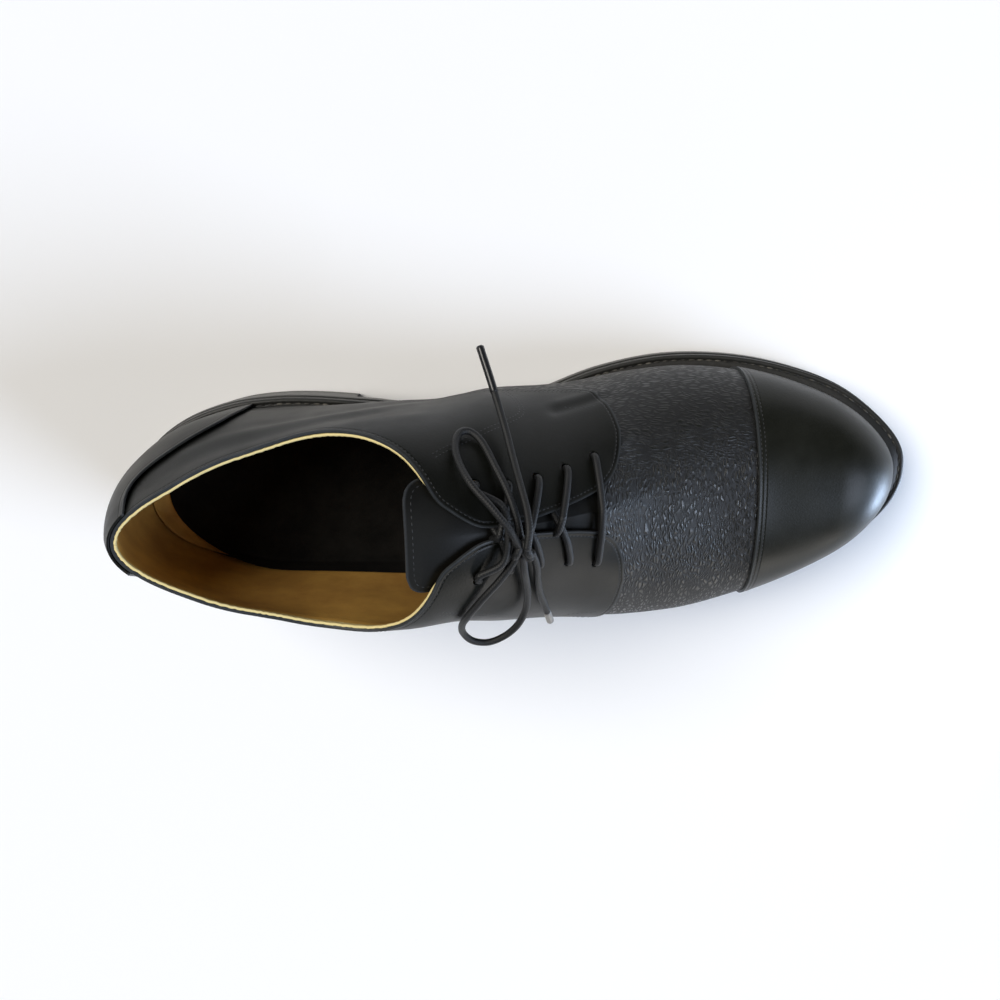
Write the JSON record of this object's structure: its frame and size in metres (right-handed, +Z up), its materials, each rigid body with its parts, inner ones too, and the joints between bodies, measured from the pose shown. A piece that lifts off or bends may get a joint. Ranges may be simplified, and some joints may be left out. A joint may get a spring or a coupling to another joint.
{
  "type": "cap-toe derby shoe",
  "caption": "Right-foot leather lace-up shoe with a cap toe, open facings over a tongue, stitched welt, thin sole and block heel.",
  "frame": {"origin": "on the floor, under the middle of the shoe's outline", "axes": "+X from heel to toe, +Y to the inner (medial) side, +Z up"},
  "size_m": [0.304, 0.1169, 0.1222],
  "materials": {
    "smooth_leather": "polished smooth black calf",
    "grained_leather": "pebbled black calf, satin",
    "sole_leather": "black painted and waxed edge",
    "welt_leather": "black, stitched",
    "sock": "black suede-like sock",
    "lining": "tan smooth lining, worn pale at the rim",
    "lace": "round waxed cotton lace",
    "thread": "waxed stitching thread",
    "aglet": "lace tip"
  },
  "bodies": {
    "root": {"outsole": "sole_leather", "heel": "sole_leather", "welt": "welt_leather", "insole": "sock", "upper": "grained_leather", "toe_cap": "smooth_leather", "heel_counter": "smooth_leather", "tongue": "smooth_leather", "lace_bar_1": "lace", "lace_cross_2": "lace", "lace_cross_3": "lace", "lace_cross_4": "lace", "lace_top_5": "lace", "lace_knot": "lace", "lace_loop_medial": "lace", "lace_loop_lateral": "lace", "lace_end_medial": "lace", "lace_end_lateral": "lace"}
  },
  "joints": []
}
